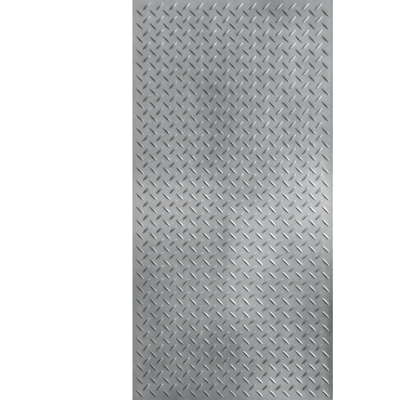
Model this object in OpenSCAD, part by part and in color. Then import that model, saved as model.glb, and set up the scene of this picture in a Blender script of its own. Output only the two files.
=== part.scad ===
// Checker steel plate: a rolled sheet with a four-way pattern of raised, lens-shaped lugs.
// The sheet lies flat. X runs across it, Y along it and Z up through the lugs.
// The origin is the middle of the underside.

/* [Sheet] */
// Width of the sheet
sheet_w = 500; // [200:1:600]
// Length of the sheet
sheet_l = 1000; // [200:1:1200]
// Thickness of the sheet between its lugs
sheet_t = 3; // [2:0.5:10]
// How far the shear draws the top edge down
edge_drop = 0.4; // [0.2:0.1:1]
// Plain border that every lug keeps clear of the sheared edges
border = 6; // [2:0.5:10]

/* [Lug] */
// Length of a lug at its foot
lug_l = 26; // [20:0.5:30]
// Width of a lug at its foot
lug_w = 6; // [5:0.5:9]
// Height of a lug above the sheet
lug_h = 1.5; // [1:0.1:2]
// Width of the worn flat on the crest of a lug
crest_w = 2; // [1:0.5:4]

/* [Pattern] */
// Distance between like lugs across the sheet
pitch_x = 33; // [32:0.1:40]
// Distance between like lugs along the sheet
pitch_y = 32.7; // [32:0.1:40]
// Angle of a lug to the width of the sheet
lug_angle = 45; // [40:1:50]

/* [Hidden] */
steel = [0.60, 0.61, 0.62];

// A lug is the overlap of two cones. Their feet are the two arcs of the lens.
foot_r = (lug_l * lug_l + lug_w * lug_w) / (4 * lug_w);
flank_run = (lug_w - crest_w) / 2;
flank_slope = flank_run / lug_h;
// Depth that a lug goes into the sheet, so that the two are one solid
root = 0.5;

// Half of the ground that a turned lug covers, and what that leaves for the lugs' centres
lug_reach = lug_l / 2 * max(cos(lug_angle), sin(lug_angle)) + border;
field_w = sheet_w - 2 * lug_reach;
field_l = sheet_l - 2 * lug_reach;

// Rows of falling lugs and rows of rising lugs take turns, half a pitch apart both ways.
columns = floor(field_w / pitch_x) + 1;
rows = floor(field_l / pitch_y + 0.5);
first_row = -(rows - 0.5) * pitch_y / 2;

// Outline of the sheet across one of its sides: the top edges are drawn down by the shear.
module sheared_section(side) {
    polygon([
        [-side / 2, 0],
        [side / 2, 0],
        [side / 2, sheet_t - edge_drop],
        [side / 2 - edge_drop, sheet_t],
        [-side / 2 + edge_drop, sheet_t],
        [-side / 2, sheet_t - edge_drop]
    ]);
}

// A section drawn upright in X and Z, carried the given length along Y
module along_y(length) {
    rotate([90, 0, 0])
        linear_extrude(length, center = true)
            children();
}

// The flat sheet with all four of its edges sheared
module sheet() {
    intersection() {
        along_y(sheet_l) sheared_section(sheet_w);
        rotate(90) along_y(sheet_w) sheared_section(sheet_l);
    }
}

// One flank of a lug: a wide cone whose foot is one arc of the lens
module flank(side) {
    translate([0, side * (lug_w / 2 - foot_r), sheet_t - root])
        cylinder(
            h = root + lug_h,
            r1 = foot_r + root * flank_slope,
            r2 = foot_r - flank_run,
            $fn = 180
        );
}

// A lug along X, with pointed ends, sloping flanks and a flat crest
module lug() {
    intersection() {
        flank(1);
        flank(-1);
    }
}

// Rows of like lugs: the first row's place along the sheet, lugs in a row and the angle of a lug
module lug_rows(start, per_row, angle) {
    for (row = [0:rows - 1], column = [0:per_row - 1])
        translate([(column - (per_row - 1) / 2) * pitch_x, start + row * pitch_y, 0])
            rotate(angle)
                lug();
}

module checker_plate() {
    color(steel) {
        sheet();
        lug_rows(first_row, columns, -lug_angle);
        lug_rows(first_row + pitch_y / 2, columns - 1, lug_angle);
    }
}

checker_plate();
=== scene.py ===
"""Checker steel plate on a pale floor, seen straight down: a rolled sheet with a pattern of raised lugs."""

import math

import bpy
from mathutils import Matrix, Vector
from mathutils.geometry import delaunay_2d_cdt


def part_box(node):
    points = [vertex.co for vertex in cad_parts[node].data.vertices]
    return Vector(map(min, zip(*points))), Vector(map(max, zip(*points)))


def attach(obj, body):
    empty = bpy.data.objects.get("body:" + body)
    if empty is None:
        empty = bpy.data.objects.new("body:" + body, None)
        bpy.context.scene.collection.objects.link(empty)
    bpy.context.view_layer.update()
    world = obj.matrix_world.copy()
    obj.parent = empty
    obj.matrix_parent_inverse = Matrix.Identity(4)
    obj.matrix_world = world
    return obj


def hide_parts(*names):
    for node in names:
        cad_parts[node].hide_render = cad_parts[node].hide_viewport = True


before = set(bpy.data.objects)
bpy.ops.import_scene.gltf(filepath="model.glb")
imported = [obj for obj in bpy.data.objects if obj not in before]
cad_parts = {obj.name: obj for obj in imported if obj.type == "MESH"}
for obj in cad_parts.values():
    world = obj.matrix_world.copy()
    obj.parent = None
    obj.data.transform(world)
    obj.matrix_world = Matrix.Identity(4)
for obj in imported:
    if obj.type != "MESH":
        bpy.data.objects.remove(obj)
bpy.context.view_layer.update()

NODE = "checker_plate"
low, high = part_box(NODE)

# Pattern of lugs, in metres
LUG_LENGTH = 0.026
LUG_WIDTH = 0.006
LUG_HEIGHT = 0.0015
LUG_ANGLE = math.radians(45)
PITCH_X = 0.033
PITCH_Y = 0.0327
COLUMNS = 15
ROWS = 30

# Powers that shape a lug along its length: its plan is a slim oval, and its crest falls towards the tips
PLAN_POWER = 0.50
CREST_POWER = 0.60
# A lug's section, in shares of its half width: a crest, a round shoulder, a straight flank, a hollow foot
CREST_END = 0.05
FLANK_START = 0.30
FLANK_END = 0.94
# A lug's mesh: steps along it, and where its points lie between the middle and an edge
LUG_STEPS = 10
HALF_POINTS = (CREST_END, (CREST_END + FLANK_START) / 2, FLANK_START, FLANK_END, 1.0)
CROSS_POINTS = [-p for p in reversed(HALF_POINTS)] + [0.0] + list(HALF_POINTS)

# Edges of the sheet: drawn down on top by the shear, with a small break below
SHEET_TOP = high.z - LUG_HEIGHT
TOP_ROLL = 0.0008
BOTTOM_BREAK = 0.0002
ROLL_STEPS = 4
BREAK_STEPS = 2

# Filling of the flat top: the kind of result, triangles over the whole outline, and the merging distance
WHOLE_TRIANGLES = 0
MERGE_DISTANCE = 1e-9

# The texture map is the plate's skin laid flat: the top and its folded-out edges, beside the underside
NET_GAP = 0.012
NET_SIZE = 2 * (high.x - low.x) + 3 * NET_GAP


def lug_section(across):
    """Height of a lug as a share of its crest. across runs from -1 at one edge of the foot to 1."""
    out = abs(across)
    slope = 2 / (1 + FLANK_END - FLANK_START - CREST_END)
    if out < CREST_END:
        return 1
    if out < FLANK_START:
        return 1 - slope * (out - CREST_END) ** 2 / (2 * (FLANK_START - CREST_END))
    if out < FLANK_END:
        return slope * ((1 + FLANK_END) / 2 - out)
    return slope * (1 - out) ** 2 / (2 * (1 - FLANK_END))


def lug_grid():
    """Points of one lug along X, row by row from tip to tip. A tip is a row of one point."""
    rows = []
    for step in range(LUG_STEPS + 1):
        share = -math.cos(math.pi * step / LUG_STEPS)
        along = share * LUG_LENGTH / 2
        if step in (0, LUG_STEPS):
            rows.append([(along, 0.0, 0.0)])
            continue
        half_width = LUG_WIDTH / 2 * (1 - share**2) ** PLAN_POWER
        crest = LUG_HEIGHT * (1 - share**2) ** CREST_POWER
        rows.append([(along, half_width * p, crest * lug_section(p)) for p in CROSS_POINTS])
    return rows


def lug_places():
    """Middle and angle of every lug: rows of falling lugs, with rows of rising lugs between them."""
    first = -(ROWS - 0.5) * PITCH_Y / 2
    kinds = ((first, COLUMNS, -LUG_ANGLE), (first + PITCH_Y / 2, COLUMNS - 1, LUG_ANGLE))
    for start, count, angle in kinds:
        for row in range(ROWS):
            for column in range(count):
                yield (column - (count - 1) / 2) * PITCH_X, start + row * PITCH_Y, angle


def on_top(point):
    """Place in the flat net of a point of the sheet's top or of a lug."""
    return point[0] - low.x, point[1]


def on_side(outward):
    """Gives the function that folds a side of the sheet outwards into the flat net."""

    def place(point):
        depth = SHEET_TOP - point[2]
        return point[0] - low.x + outward[0] * depth, point[1] + outward[1] * depth

    return place


def on_underside(point):
    """Place in the flat net of a point of the underside, seen from below."""
    return high.x - point[0] + (high.x - low.x) + NET_GAP, point[1]


class PlateMesh:
    """Gathers the plate's points and faces, each face's shading and its place in the flat net."""

    def __init__(self):
        self.points = []
        self.faces = []
        self.smooth = []
        self.net = []
        self.mitres = set()

    def add_points(self, points):
        """Adds points and returns their numbers."""
        start = len(self.points)
        self.points.extend(points)
        return list(range(start, len(self.points)))

    def add_face(self, corners, smooth, place):
        """Adds a face, and its corners in the net by the function that places them there."""
        self.faces.append(corners)
        self.smooth.append(smooth)
        for corner in corners:
            across, along = place(self.points[corner])
            self.net.append((across + NET_GAP) / NET_SIZE)
            self.net.append(along / NET_SIZE + 0.5)

    def make(self, name):
        """Makes the piece, with sharp edges where two sides of the sheet meet."""
        mesh = bpy.data.meshes.new(name)
        mesh.from_pydata(self.points, [], self.faces)
        mesh.polygons.foreach_set("use_smooth", self.smooth)
        mesh.edges.foreach_set("use_edge_sharp", [tuple(e.vertices) in self.mitres for e in mesh.edges])
        mesh.uv_layers.new(name="OFBake").data.foreach_set("uv", self.net)
        mesh.update()
        piece = bpy.data.objects.new(name, mesh)
        bpy.context.scene.collection.objects.link(piece)
        return piece


def add_lug(plate, grid, x, y, angle):
    """Adds a lug's skin and returns the points of its foot, in order round it."""
    cos, sin = math.cos(angle), math.sin(angle)
    rows = []
    for row in grid:
        turned = [(x + cos * a - sin * b, y + sin * a + cos * b, SHEET_TOP + c) for a, b, c in row]
        rows.append(plate.add_points(turned))
    for near, far in zip(rows, rows[1:]):
        for k in range(len(CROSS_POINTS) - 1):
            if len(near) == 1:
                corners = (near[0], far[k], far[k + 1])
            elif len(far) == 1:
                corners = (near[k], far[0], near[k + 1])
            else:
                corners = (near[k], far[k], far[k + 1], near[k + 1])
            plate.add_face(corners, True, on_top)
    lower = [row[0] for row in rows[1:-1]]
    upper = [row[-1] for row in rows[1:-1]]
    return [rows[0][0], *lower, rows[-1][0], *reversed(upper)]


def edge_profile():
    """Inset and height of the rings from the sheet's top, over its edges, to its underside."""
    profile = []
    for step in range(ROLL_STEPS + 1):
        turn = math.pi / 2 * step / ROLL_STEPS
        profile.append((TOP_ROLL * (1 - math.sin(turn)), SHEET_TOP - TOP_ROLL * (1 - math.cos(turn))))
    for step in range(BREAK_STEPS + 1):
        turn = math.pi / 2 * step / BREAK_STEPS
        profile.append((BOTTOM_BREAK * (1 - math.cos(turn)), low.z + BOTTOM_BREAK * (1 - math.sin(turn))))
    return profile


def add_ring(plate, inset, height):
    """Adds the four corners of the sheet's outline at a height, and returns them in order round it."""
    left, right = low.x + inset, high.x - inset
    front, back = low.y + inset, high.y - inset
    corners = [(left, front), (right, front), (right, back), (left, back)]
    return plate.add_points([(x, y, height) for x, y in corners])


def add_edges(plate):
    """Adds the four edges and the underside, and returns the outline of the flat top."""
    rings = [add_ring(plate, inset, height) for inset, height in edge_profile()]
    outward = ((0, -1), (1, 0), (0, 1), (-1, 0))
    for upper, lower in zip(rings, rings[1:]):
        plate.mitres.update(zip(upper, lower))
        for k, out in enumerate(outward):
            after = (k + 1) % len(outward)
            plate.add_face((upper[k], lower[k], lower[after], upper[after]), True, on_side(out))
    plate.add_face(tuple(reversed(rings[-1])), False, on_underside)
    return rings[0]


def add_sheet_top(plate, outline, feet):
    """Fills the flat top of the sheet between its outline and the feet of the lugs."""
    loops = [outline, *feet]
    used = [point for loop in loops for point in loop]
    place = {point: at for at, point in enumerate(used)}
    flat = [Vector(plate.points[point][:2]) for point in used]
    edges = [(place[a], place[b]) for loop in loops for a, b in zip(loop, loop[1:] + loop[:1])]
    holes = [[place[point] for point in loop] for loop in feet]
    filled = delaunay_2d_cdt(flat, edges, holes, WHOLE_TRIANGLES, MERGE_DISTANCE, True)
    _, _, triangles, from_point, _, from_hole = filled
    for triangle, inside in zip(triangles, from_hole):
        if not inside:
            plate.add_face(tuple(used[from_point[k][0]] for k in triangle), False, on_top)


def build_plate():
    """The whole plate as one closed mesh."""
    plate = PlateMesh()
    grid = lug_grid()
    feet = [add_lug(plate, grid, x, y, angle) for x, y, angle in lug_places()]
    outline = add_edges(plate)
    add_sheet_top(plate, outline, feet)
    return plate.make("checker_plate_skin")


# Nearly all of a noise lies in this range, and this is the middle of a coloured one
NOISE_RANGE = (0.2, 0.8)
NOISE_MIDDLE = (0.5, 0.5, 0.5)
# A mix node's sockets are known by their order, because those for numbers and colours have the same names
MIX_FACTOR = 0
MIX_NUMBERS = (2, 3)
MIX_NUMBER_RESULT = 0
MIX_COLOURS = (6, 7)
MIX_COLOUR_RESULT = 2


class Nodes:
    """Adds linked nodes to a node tree. A node's input is a number, a vector or another node's output."""

    def __init__(self, tree):
        self.tree = tree

    def put(self, socket, value):
        """Links an output to a socket, or sets the socket to a plain value."""
        if isinstance(value, bpy.types.NodeSocket):
            self.tree.links.new(value, socket)
        else:
            socket.default_value = value

    def add(self, kind, inputs, **settings):
        """Adds a node with its settings, which come first because they can change its sockets."""
        node = self.tree.nodes.new(kind)
        for name, value in settings.items():
            setattr(node, name, value)
        for name, value in inputs.items():
            self.put(node.inputs[name], value)
        return node

    def coordinates(self, name):
        """Texture coordinates of the named kind."""
        return self.tree.nodes.new("ShaderNodeTexCoord").outputs[name]

    def split(self, vector):
        """The X, Y and Z of a vector."""
        return self.add("ShaderNodeSeparateXYZ", {0: vector}).outputs

    def math(self, operation, first, second=0.0):
        """What an operation on one or two numbers gives."""
        return self.add("ShaderNodeMath", {0: first, 1: second}, operation=operation).outputs[0]

    def total(self, values):
        """All the values added up."""
        result = values[0]
        for value in values[1:]:
            result = self.math("ADD", result, value)
        return result

    def vector(self, operation, first, second):
        """The vector that an operation on two vectors gives."""
        node = self.add("ShaderNodeVectorMath", {0: first, 1: second}, operation=operation)
        return node.outputs["Vector"]

    def dot(self, first, second):
        """How far one direction leans to another, from -1 to 1."""
        node = self.add("ShaderNodeVectorMath", {0: first, 1: second}, operation="DOT_PRODUCT")
        return node.outputs["Value"]

    def span(self, value, source, target):
        """Maps one range of values smoothly to another."""
        inputs = {"Value": value, "From Min": source[0], "From Max": source[1]}
        inputs.update({"To Min": target[0], "To Max": target[1]})
        return self.add("ShaderNodeMapRange", inputs, interpolation_type="SMOOTHSTEP").outputs["Result"]

    def noise(self, place, scale, detail):
        """Noise that turns about as often in a metre as its scale says, as a number and as a colour."""
        return self.add("ShaderNodeTexNoise", {"Vector": place, "Scale": scale, "Detail": detail}).outputs

    def stretched_noise(self, place, stretch, detail):
        """Noise with a scale of its own along each axis, as a number."""
        return self.noise(self.vector("MULTIPLY", place, stretch), 1, detail)["Fac"]

    def sway(self, noise, change):
        """A number that goes up and down by the change as the noise does."""
        return self.span(noise, NOISE_RANGE, (-change, change))

    def blend(self, factor, first, second):
        """A number that goes from the first to the second as the factor goes from 0 to 1."""
        inputs = {MIX_FACTOR: factor, MIX_NUMBERS[0]: first, MIX_NUMBERS[1]: second}
        return self.add("ShaderNodeMix", inputs, data_type="FLOAT").outputs[MIX_NUMBER_RESULT]

    def tint(self, factor, first, second):
        """A colour that goes from the first to the second as the factor goes from 0 to 1."""
        inputs = {MIX_FACTOR: factor, MIX_COLOURS[0]: first, MIX_COLOURS[1]: second}
        return self.add("ShaderNodeMix", inputs, data_type="RGBA").outputs[MIX_COLOUR_RESULT]


# Colours between which the steel's tone runs from 0 to 1, and the tone of the flat sheet
DARK_STEEL = (0.180, 0.202, 0.208, 1)
LIGHT_STEEL = (0.857, 0.870, 0.886, 1)
FLAT_TONE = 0.74
# Soft patches of painted light and shade on the sheet, where reflections fall lighter or darker, and partly
# of the mill finish's own uneven tone: middle, width and length in metres, change of tone
PAINTED_LIGHT_PATCHES = {
    "upper_half": ((0.10, 0.35), (0.90, 0.72), -0.14),
    "top_shade": ((0.18, 0.49), (0.44, 0.16), -0.18),
    "upper_right_shade": ((0.25, 0.29), (0.20, 0.60), -0.14),
    "upper_shade": ((-0.04, 0.19), (0.15, 0.40), -0.15),
    "right_light": ((0.19, -0.01), (0.32, 0.28), 0.20),
    "middle_light": ((0.06, -0.10), (0.18, 0.22), 0.28),
    "left_light": ((-0.17, -0.02), (0.44, 0.24), 0.25),
    "middle_shade": ((-0.035, -0.02), (0.06, 0.26), -0.06),
    "lower_light_streak": ((0.03, -0.22), (0.16, 0.28), 0.20),
    "left_shade": ((-0.21, -0.24), (0.18, 0.30), -0.14),
    "lower_shade": ((-0.11, -0.43), (0.46, 0.34), -0.20),
    "lower_spot_shade": ((-0.03, -0.36), (0.12, 0.18), -0.14),
    "right_shade": ((0.24, -0.32), (0.24, 0.50), -0.26),
    "right_rim_shade": ((0.255, -0.38), (0.07, 0.60), -0.26),
    "upper_rim_shade": ((0.255, 0.10), (0.06, 0.60), -0.12),
    "bottom_rim_shade": ((-0.10, -0.515), (0.60, 0.09), -0.18),
    "corner_light": ((0.12, -0.47), (0.18, 0.14), 0.16),
}
# Share of the way from its rim to its middle at which a patch has its full change of tone
PATCH_CORE = 0.7
# Share of a patch's painted light and shade that still shows on the lugs
LUG_PATCH_SHARE = 0.4
# The patches' outlines wander: size of the wander in metres and how often it turns in a metre
WANDER = 0.03
WANDER_SCALE = 11
WANDER_DETAIL = 3
# Clouds and blotches of the finish: how often they turn in a metre, and their change of tone
CLOUD_SCALE = 16
CLOUD_TONE = 0.08
BLOTCH_SCALE = 85
BLOTCH_TONE = 0.06
CLOUD_DETAIL = 4
# Where a lug's flanks and its crest begin, as shares of its height, and the painted shade that darkens them
FLANK_RISE = (0.01, 0.08)
CREST_RISE = (0.55, 0.95)
FLANK_SHADE = -0.15
CREST_SHADE = -0.30
# Painted shade in the corner round a lug's foot: how far it is looked for in metres, how open it is, change
# of tone
FOOT_REACH = 0.003
FOOT_SAMPLES = 8
FOOT_OPENNESS = (0.82, 0.98)
FOOT_SHADE = -0.45
# Roughness of the flat sheet and of the worn lugs, and what blotches change on the sheet
FLAT_ROUGHNESS = 0.45
LUG_ROUGHNESS = 0.12
BLOTCH_ROUGHNESS = 0.06
# Streaks that the rolls leave along the sheet: turns of noise in a metre, and their change of tone
ROLL_STRETCH = (60, 4, 1)
ROLL_TONE = 0.05
# Fine scratches: turns of noise in a metre, their angles to the sheet, the level of noise that makes one,
# and what they change
SCRATCH_STRETCH = (1500, 25, 1)
SCRATCH_TURNS = (math.radians(14), math.radians(-23))
SCRATCH_DETAIL = 1
SCRATCH_LEVEL = (0.68, 0.76)
SCRATCH_TONE = 0.10
SCRATCH_ROUGHNESS = -0.10
# Rolling grain along the sheet and fine pits: turns of noise in a metre, and their depth in metres
GRAIN_STRETCH = (1100, 45, 300)
PIT_SCALE = 800
GRAIN_DETAIL = 2
GRAIN_DEPTH = 0.00006
GRAIN_STRENGTH = 0.5
# Painted shade along the long edges of the top: its width in metres and change of tone
RIM_WIDTH = 0.009
RIM_SHADE = -0.14
# The sheared sides are where the surface faces neither up nor down: a range for the Z of its normal
SIDE_LEAN = (0.3, 0.6)
# They are burnished above and torn below a blurred line, which streaks make uneven: shares of the thickness
SHEAR_LINE = 0.62
SHEAR_BLUR = 0.08
SHEAR_SPREAD = 0.15
# The streaks as turns of noise in a metre, and the torn part's change of tone, roughness and depth in metres
STREAK_STRETCH = (900, 900, 90)
STREAK_DETAIL = 3
TORN_TONE = -0.30
TORN_ROUGHNESS = 0.55
TORN_DEPTH = 0.00012


def lug_share(nodes, height, rise):
    """How far a point lies on a lug, from 0 to 1 between two shares of the lug's height."""
    start, end = rise
    return nodes.span(height, (SHEET_TOP + start * LUG_HEIGHT, SHEET_TOP + end * LUG_HEIGHT), (0, 1))


def patch_tone(nodes, place, middle, size, change):
    """A soft oval patch of painted light and shade that is strongest in its middle."""
    inputs = {"Vector": place, "Location": (*middle, 0), "Scale": (size[0] / 2, size[1] / 2, 1)}
    oval = nodes.add("ShaderNodeMapping", inputs, vector_type="TEXTURE").outputs[0]
    depth = nodes.add("ShaderNodeTexGradient", {"Vector": oval}, gradient_type="SPHERICAL").outputs["Fac"]
    return nodes.span(depth, (0, PATCH_CORE), (0, change))


def finish_and_painted_light(nodes, place, lug):
    """Tone of the sheet: clouds of the mill finish, and the patches of painted light and shade with their
    wandering outlines.
    """
    drift = nodes.noise(place, WANDER_SCALE, WANDER_DETAIL)["Color"]
    reach = nodes.vector("MULTIPLY", nodes.vector("SUBTRACT", drift, NOISE_MIDDLE), (WANDER, WANDER, 0))
    wandered = nodes.vector("ADD", place, reach)
    patches = nodes.total([patch_tone(nodes, wandered, *patch) for patch in PAINTED_LIGHT_PATCHES.values()])
    painted_patches = nodes.math("MULTIPLY", patches, nodes.blend(lug, 1.0, LUG_PATCH_SHARE))
    cloud = nodes.noise(wandered, CLOUD_SCALE, CLOUD_DETAIL)["Fac"]
    return nodes.total([painted_patches, nodes.sway(cloud, CLOUD_TONE), FLAT_TONE])


def painted_rim_shade(nodes, place):
    """Painted shade towards the long edges of the top."""
    out = nodes.math("ABSOLUTE", nodes.split(place)["X"])
    return nodes.span(out, (high.x - RIM_WIDTH, high.x), (0, RIM_SHADE))


def painted_foot_shade(nodes, lug):
    """Painted shade on the sheet in the corner where the lugs rise from it."""
    settings = {"only_local": True, "samples": FOOT_SAMPLES}
    corner = nodes.add("ShaderNodeAmbientOcclusion", {"Distance": FOOT_REACH}, **settings)
    painted_shade = nodes.span(corner.outputs["AO"], FOOT_OPENNESS, (FOOT_SHADE, 0))
    return nodes.blend(lug, painted_shade, 0.0)


def scratch_share(nodes, place):
    """How far a point lies in a fine scratch: thin crests of stretched noise, in two directions."""
    shares = []
    for turn in SCRATCH_TURNS:
        turned = nodes.add("ShaderNodeMapping", {"Vector": place, "Rotation": (0, 0, turn)}).outputs[0]
        lines = nodes.stretched_noise(turned, SCRATCH_STRETCH, SCRATCH_DETAIL)
        shares.append(nodes.span(lines, SCRATCH_LEVEL, (0, 1)))
    return nodes.total(shares)


def torn_share(nodes, height, streak):
    """How far a point lies in the torn part of a sheared side, from 0 to 1."""
    lean = nodes.math("ABSOLUTE", nodes.split(nodes.coordinates("Normal"))["Z"])
    side = nodes.span(lean, SIDE_LEAN, (1, 0))
    share = nodes.math("DIVIDE", height, SHEET_TOP)
    uneven = nodes.math("ADD", share, nodes.sway(streak, SHEAR_SPREAD))
    below = nodes.span(uneven, (SHEAR_LINE - SHEAR_BLUR, SHEAR_LINE + SHEAR_BLUR), (1, 0))
    return nodes.math("MULTIPLY", side, below)


def steel_relief(nodes, place, torn, streak):
    """Normal with the rolling grain and fine pits all over, and streaks on the torn part of the sides."""
    grain = nodes.stretched_noise(place, GRAIN_STRETCH, GRAIN_DETAIL)
    pits = nodes.noise(place, PIT_SCALE, GRAIN_DETAIL)["Fac"]
    fine = {"Height": nodes.math("ADD", grain, pits), "Distance": GRAIN_DEPTH, "Strength": GRAIN_STRENGTH}
    fine_normal = nodes.add("ShaderNodeBump", fine).outputs["Normal"]
    coarse = {"Height": nodes.math("MULTIPLY", torn, streak), "Distance": TORN_DEPTH, "Normal": fine_normal}
    return nodes.add("ShaderNodeBump", coarse).outputs["Normal"]


def steel_material():
    """Rolled steel with its mill finish and scratches, and with painted light and shade."""
    material = bpy.data.materials.new("mill_steel")
    material.use_nodes = True
    nodes = Nodes(material.node_tree)
    shader = material.node_tree.nodes["Principled BSDF"]
    shader.inputs["Metallic"].default_value = 1.0

    place = nodes.coordinates("Object")
    height = nodes.split(place)["Z"]
    lug = lug_share(nodes, height, FLANK_RISE)
    crest = lug_share(nodes, height, CREST_RISE)
    blotch = nodes.noise(place, BLOTCH_SCALE, CLOUD_DETAIL)["Fac"]
    roll = nodes.stretched_noise(place, ROLL_STRETCH, STREAK_DETAIL)
    scratch = scratch_share(nodes, place)
    streak = nodes.stretched_noise(place, STREAK_STRETCH, STREAK_DETAIL)
    torn = torn_share(nodes, height, streak)

    # The tone holds painted light and shade: the patches, darker lug flanks and crests, shade round the
    # lugs' feet, the rim
    tones = [
        finish_and_painted_light(nodes, place, lug),
        nodes.sway(blotch, BLOTCH_TONE),
        nodes.math("MULTIPLY", lug, FLANK_SHADE),
        nodes.math("MULTIPLY", crest, CREST_SHADE),
        painted_foot_shade(nodes, lug),
        painted_rim_shade(nodes, place),
        nodes.sway(roll, ROLL_TONE),
        nodes.math("MULTIPLY", scratch, SCRATCH_TONE),
        nodes.math("MULTIPLY", torn, TORN_TONE),
    ]
    nodes.put(shader.inputs["Base Color"], nodes.tint(nodes.total(tones), DARK_STEEL, LIGHT_STEEL))

    uneven = nodes.sway(blotch, BLOTCH_ROUGHNESS)
    scratched = nodes.math("MULTIPLY", scratch, SCRATCH_ROUGHNESS)
    flat_roughness = nodes.total([uneven, scratched, FLAT_ROUGHNESS])
    top_roughness = nodes.blend(lug, flat_roughness, LUG_ROUGHNESS)
    nodes.put(shader.inputs["Roughness"], nodes.blend(torn, top_roughness, TORN_ROUGHNESS))

    nodes.put(shader.inputs["Normal"], steel_relief(nodes, place, torn, streak))
    return material


WHITE = (1, 1, 1, 1)
# A pale floor that glows, just below the plate: half its side and its drop in metres, and its looks
FLOOR_HALF = 30.0
FLOOR_DROP = 0.0005
FLOOR_COLOUR = (0.85, 0.85, 0.85, 1)
FLOOR_ROUGHNESS = 0.9
FLOOR_GLOW = 0.7


def floor_material():
    """Pale matt floor."""
    material = bpy.data.materials.new("pale_floor")
    material.use_nodes = True
    shader = material.node_tree.nodes["Principled BSDF"]
    shader.inputs["Base Color"].default_value = FLOOR_COLOUR
    shader.inputs["Roughness"].default_value = FLOOR_ROUGHNESS
    shader.inputs["Emission Color"].default_value = WHITE
    shader.inputs["Emission Strength"].default_value = FLOOR_GLOW
    return material


def add_floor():
    """Adds the floor, which belongs to the stage and not to the plate."""
    mesh = bpy.data.meshes.new("floor")
    corners = [(-FLOOR_HALF, -FLOOR_HALF, 0), (FLOOR_HALF, -FLOOR_HALF, 0)]
    corners += [(FLOOR_HALF, FLOOR_HALF, 0), (-FLOOR_HALF, FLOOR_HALF, 0)]
    mesh.from_pydata(corners, [], [(0, 1, 2, 3)])
    floor = bpy.data.objects.new("floor", mesh)
    floor.location.z = low.z - FLOOR_DROP
    mesh.materials.append(floor_material())
    bpy.context.scene.collection.objects.link(floor)


def sky_pole(angle, rise):
    """Direction at an angle round the plate, from X towards Y, and at a rise above the floor."""
    return math.cos(angle) * math.cos(rise), math.sin(angle) * math.cos(rise), math.sin(rise)


# Directions that the sky's light is set by: the bright side, the shade across from it and that to its left
BRIGHT_ANGLE = math.radians(43)
SHADE_RISE = math.radians(33)
POLES = {
    "bright_side": sky_pole(BRIGHT_ANGLE, 0),
    "shade": sky_pole(BRIGHT_ANGLE + math.pi, SHADE_RISE),
    "left_shade": sky_pole(BRIGHT_ANGLE + math.pi / 2, SHADE_RISE),
    "zenith": (0, 0, 1),
}
# The sky is the sum of these: a pole, a range of how far a direction leans to it, and the radiance there
# A negative radiance takes light away
SKY_LIGHTS = (
    ("shade", (0.82, 0.94), (0.19, 0.00)),
    ("left_shade", (0.82, 0.94), (0.00, -0.12)),
    ("bright_side", (-0.10, 0.22), (0.00, 0.54)),
    ("zenith", (0.95, 0.995), (0.00, 0.20)),
    ("zenith", (0.28, 0.42), (0.42, 0.00)),
)


def add_world():
    """Adds the sky, which lights the plate from all round."""
    world = bpy.data.worlds.new("studio")
    world.use_nodes = True
    nodes = Nodes(world.node_tree)
    direction = nodes.coordinates("Generated")
    lights = []
    for pole, lean_range, radiance in SKY_LIGHTS:
        lean = nodes.dot(direction, POLES[pole])
        lights.append(nodes.span(lean, lean_range, radiance))
    background = world.node_tree.nodes["Background"]
    background.inputs["Color"].default_value = WHITE
    nodes.put(background.inputs["Strength"], nodes.total(lights))
    bpy.context.scene.world = world


# Soft light panels that hang level beside the plate and shine down: middle, size and radiance
PANELS = {
    "panel_outer": ((0.87, 0.16, 0.60), (0.58, 1.12), 1.05),
    "panel_inner": ((0.47, 0.37, 0.60), (0.22, 0.70), 1.05),
    "panel_front": ((0.40, -1.05, 0.60), (0.40, 0.50), 0.60),
    "panel_back": ((-0.90, 0.89, 1.20), (0.60, 0.58), 0.56),
}


def add_panels():
    """Adds the light panels, each with the power that gives its radiance over its area."""
    for name, (place, size, radiance) in PANELS.items():
        light = bpy.data.lights.new(name, "AREA")
        light.shape = "RECTANGLE"
        light.size, light.size_y = size
        light.energy = radiance * math.pi * light.size * light.size_y
        panel = bpy.data.objects.new(name, light)
        panel.location = place
        panel.visible_camera = False
        bpy.context.scene.collection.objects.link(panel)


# The photograph is square, and the plate runs just past its upper and lower borders
VIEW_SHARE = 0.9965
VIEW_HEIGHT = VIEW_SHARE * (high.y - low.y)
# Where the middle of the plate lies across the photograph, and the photograph's width
PLATE_MIDDLE_PX = 232.75
FRAME_PX = 400
# The camera's lens, and how far it sees in metres
LENS_MM = 160
FAR_CLIP = 100


def add_camera():
    """Adds the camera, which looks straight down on the top of the sheet."""
    camera = bpy.data.cameras.new("camera")
    camera.lens = LENS_MM
    camera.clip_end = FAR_CLIP
    distance = VIEW_HEIGHT * camera.lens / camera.sensor_width
    offset = (FRAME_PX / 2 - PLATE_MIDDLE_PX) / FRAME_PX * VIEW_HEIGHT
    view = bpy.data.objects.new("camera", camera)
    view.location = ((low.x + high.x) / 2 + offset, (low.y + high.y) / 2, SHEET_TOP + distance)
    bpy.context.scene.collection.objects.link(view)
    bpy.context.scene.camera = view


plate_skin = build_plate()
plate_skin.data.materials.append(steel_material())
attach(plate_skin, "root")
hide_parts(NODE)
add_floor()
add_world()
add_panels()
add_camera()
bpy.context.scene.view_settings.view_transform = "Standard"
